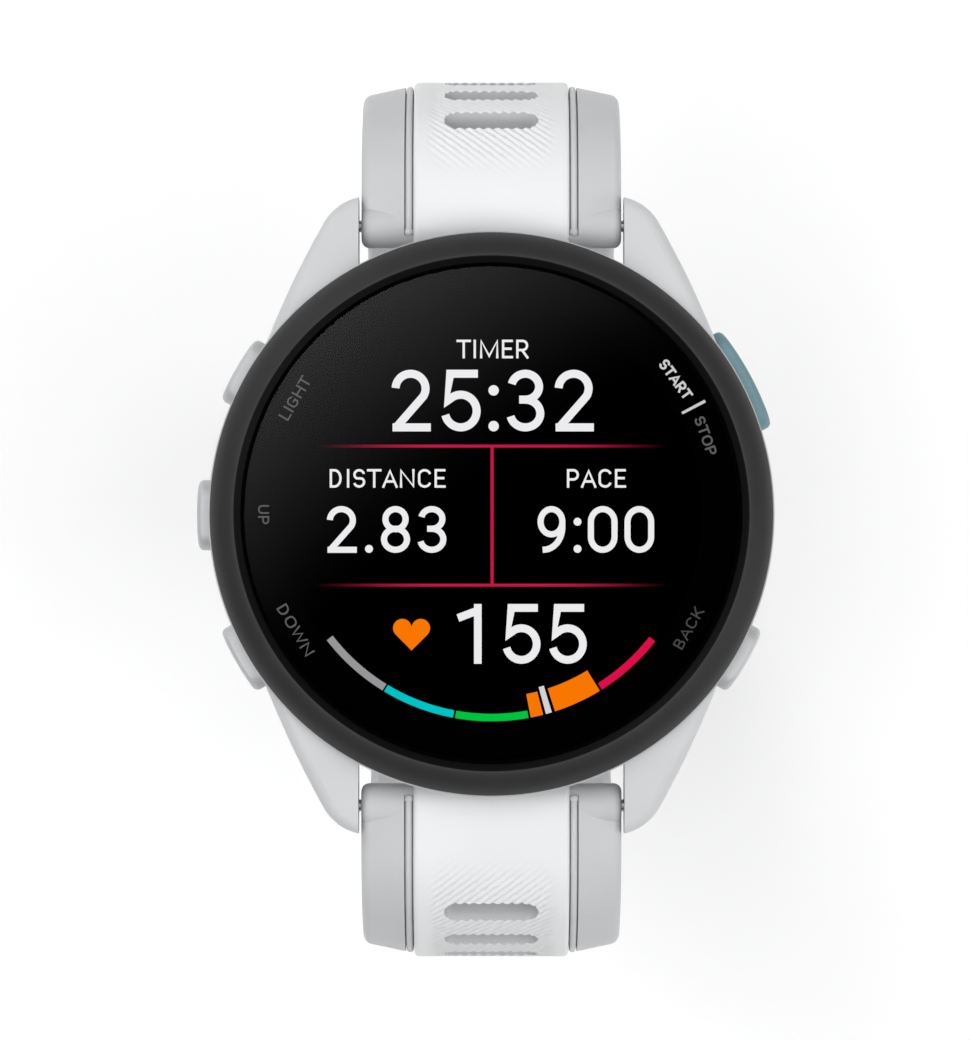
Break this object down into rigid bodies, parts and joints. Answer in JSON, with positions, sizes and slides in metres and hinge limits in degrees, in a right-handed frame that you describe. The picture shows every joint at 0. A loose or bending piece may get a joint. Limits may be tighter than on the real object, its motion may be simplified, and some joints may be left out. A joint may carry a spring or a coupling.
{
  "type": "running watch",
  "caption": "Round sports watch with five side buttons, a flush glass over a dark display, and an open two-colour slotted strap with buckle and keepers.",
  "frame": {"origin": "centre of the flat heart-rate window on the back, which rests on the wrist", "axes": "+Z the way the display faces, +Y to 12 o'clock and the buckle side strap, +X to 3 o'clock"},
  "size_m": [0.0442, 0.0688, 0.0888],
  "materials": {
    "case_polymer": "fine matte, light warm grey",
    "bezel_polymer": "dark grey, finely textured",
    "lens_glass": "clear and glossy over the dark display",
    "display_face": "black screen",
    "black_plastic": "matt",
    "silicone_white": "soft matte",
    "silicone_grey": "soft matte",
    "brushed_metal": "brushed",
    "button_steel": "satin, cool grey",
    "button_pale": "satin",
    "seal_rubber": "matt",
    "circuit_board": "solder mask",
    "gold_contact": "bright",
    "copper_foil": "satin",
    "battery_foil": "satin foil",
    "window_glass": "dark tinted and glossy",
    "led_body": "clear domes",
    "foam": "soft"
  },
  "bodies": {
    "case": {"back_cover": "case_polymer", "back_screws": "brushed_metal", "back_seal": "seal_rubber", "battery": "battery_foil", "battery_pad": "foam", "bezel": "bezel_polymer", "board_carrier": "black_plastic", "board_screws": "brushed_metal", "button_switches": "brushed_metal", "buzzer_disc": "copper_foil", "charge_contacts": "gold_contact", "charge_insulator": "black_plastic", "cover_lens": "lens_glass", "display_flex": "copper_foil", "display_frame": "black_plastic", "display_panel": "display_face", "heart_rate_window": "window_glass", "left_switch_flex": "copper_foil", "lens_seal": "seal_rubber", "main_board": "circuit_board", "memory_chips": "black_plastic", "mid_case": "case_polymer", "pressure_sensor": "black_plastic", "right_switch_flex": "copper_foil", "satellite_antenna": "copper_foil", "sensor_baffle": "black_plastic", "sensor_board": "circuit_board", "sensor_leds": "led_body", "sensor_photodiodes": "black_plastic", "shield_cans": "brushed_metal", "vibration_motor": "brushed_metal"},
    "start_button": {"start_button": "button_steel", "start_button_seal": "seal_rubber", "start_button_clip": "brushed_metal"},
    "back_button": {"back_button": "button_pale", "back_button_seal": "seal_rubber", "back_button_clip": "brushed_metal"},
    "light_button": {"light_button": "button_pale", "light_button_seal": "seal_rubber", "light_button_clip": "brushed_metal"},
    "up_button": {"up_button": "button_pale", "up_button_seal": "seal_rubber", "up_button_clip": "brushed_metal"},
    "down_button": {"down_button": "button_pale", "down_button_seal": "seal_rubber", "down_button_clip": "brushed_metal"},
    "buckle_side_strap": {"buckle_strap": "silicone_grey", "buckle_strap_panel": "silicone_white", "fixed_keeper": "silicone_grey", "buckle_side_spring_bar": "brushed_metal"},
    "tail_side_strap": {"tail_strap": "silicone_grey", "tail_strap_panel": "silicone_white", "tail_side_spring_bar": "brushed_metal"},
    "sliding_keeper": {"sliding_keeper": "silicone_grey"},
    "buckle_frame": {"buckle_frame": "brushed_metal", "buckle_pin": "brushed_metal"},
    "buckle_tongue": {"buckle_tongue": "brushed_metal"},
    "buckle_side_lever": {"buckle_side_release_lever": "brushed_metal"},
    "tail_side_lever": {"tail_side_release_lever": "brushed_metal"}
  },
  "joints": [
    {"name": "start_button_press", "type": "slide", "parent": "case", "child": "start_button", "axis": [-0.8805, -0.4741, 0], "range_m": [0, 0.0005], "stiffness_N_per_m": 1000, "springref_m": -0.0015},
    {"name": "back_button_press", "type": "slide", "parent": "case", "child": "back_button", "axis": [-0.866, 0.5, 0], "range_m": [0, 0.0005], "stiffness_N_per_m": 1000, "springref_m": -0.0015},
    {"name": "light_button_press", "type": "slide", "parent": "case", "child": "light_button", "axis": [0.866, -0.5, 0], "range_m": [0, 0.0005], "stiffness_N_per_m": 1000, "springref_m": -0.0015},
    {"name": "up_button_press", "type": "slide", "parent": "case", "child": "up_button", "axis": [1, 0, 0], "range_m": [0, 0.0005], "stiffness_N_per_m": 1000, "springref_m": -0.0015},
    {"name": "down_button_press", "type": "slide", "parent": "case", "child": "down_button", "axis": [0.866, 0.5, 0], "range_m": [0, 0.0005], "stiffness_N_per_m": 1000, "springref_m": -0.0015},
    {"name": "buckle_side_pivot", "type": "hinge", "parent": "case", "child": "buckle_side_strap", "pos_m": [0, 0.0223, 0.0042], "axis": [1, 0, 0], "range_deg": [-4, 60]},
    {"name": "tail_side_pivot", "type": "hinge", "parent": "case", "child": "tail_side_strap", "pos_m": [0, -0.0223, 0.0042], "axis": [-1, 0, 0], "range_deg": [-1, 60]},
    {"name": "buckle_side_release", "type": "slide", "parent": "buckle_side_strap", "child": "buckle_side_lever", "axis": [-1, 0, 0], "range_m": [0, 0.0014], "stiffness_N_per_m": 500, "springref_m": -0.002},
    {"name": "tail_side_release", "type": "slide", "parent": "tail_side_strap", "child": "tail_side_lever", "axis": [-1, 0, 0], "range_m": [0, 0.0014], "stiffness_N_per_m": 500, "springref_m": -0.002},
    {"name": "sliding_keeper_slide", "type": "slide", "parent": "buckle_side_strap", "child": "sliding_keeper", "axis": [0, -0.766, -0.6428], "range_m": [-0.003, 0.003]},
    {"name": "buckle_hinge", "type": "hinge", "parent": "buckle_side_strap", "child": "buckle_frame", "pos_m": [0, 0.00041, -0.04582], "axis": [1, 0, 0], "range_deg": [-20, 45]},
    {"name": "tongue_hinge", "type": "hinge", "parent": "buckle_frame", "child": "buckle_tongue", "pos_m": [0, 0.00041, -0.04582], "axis": [1, 0, 0], "range_deg": [0, 75]}
  ]
}
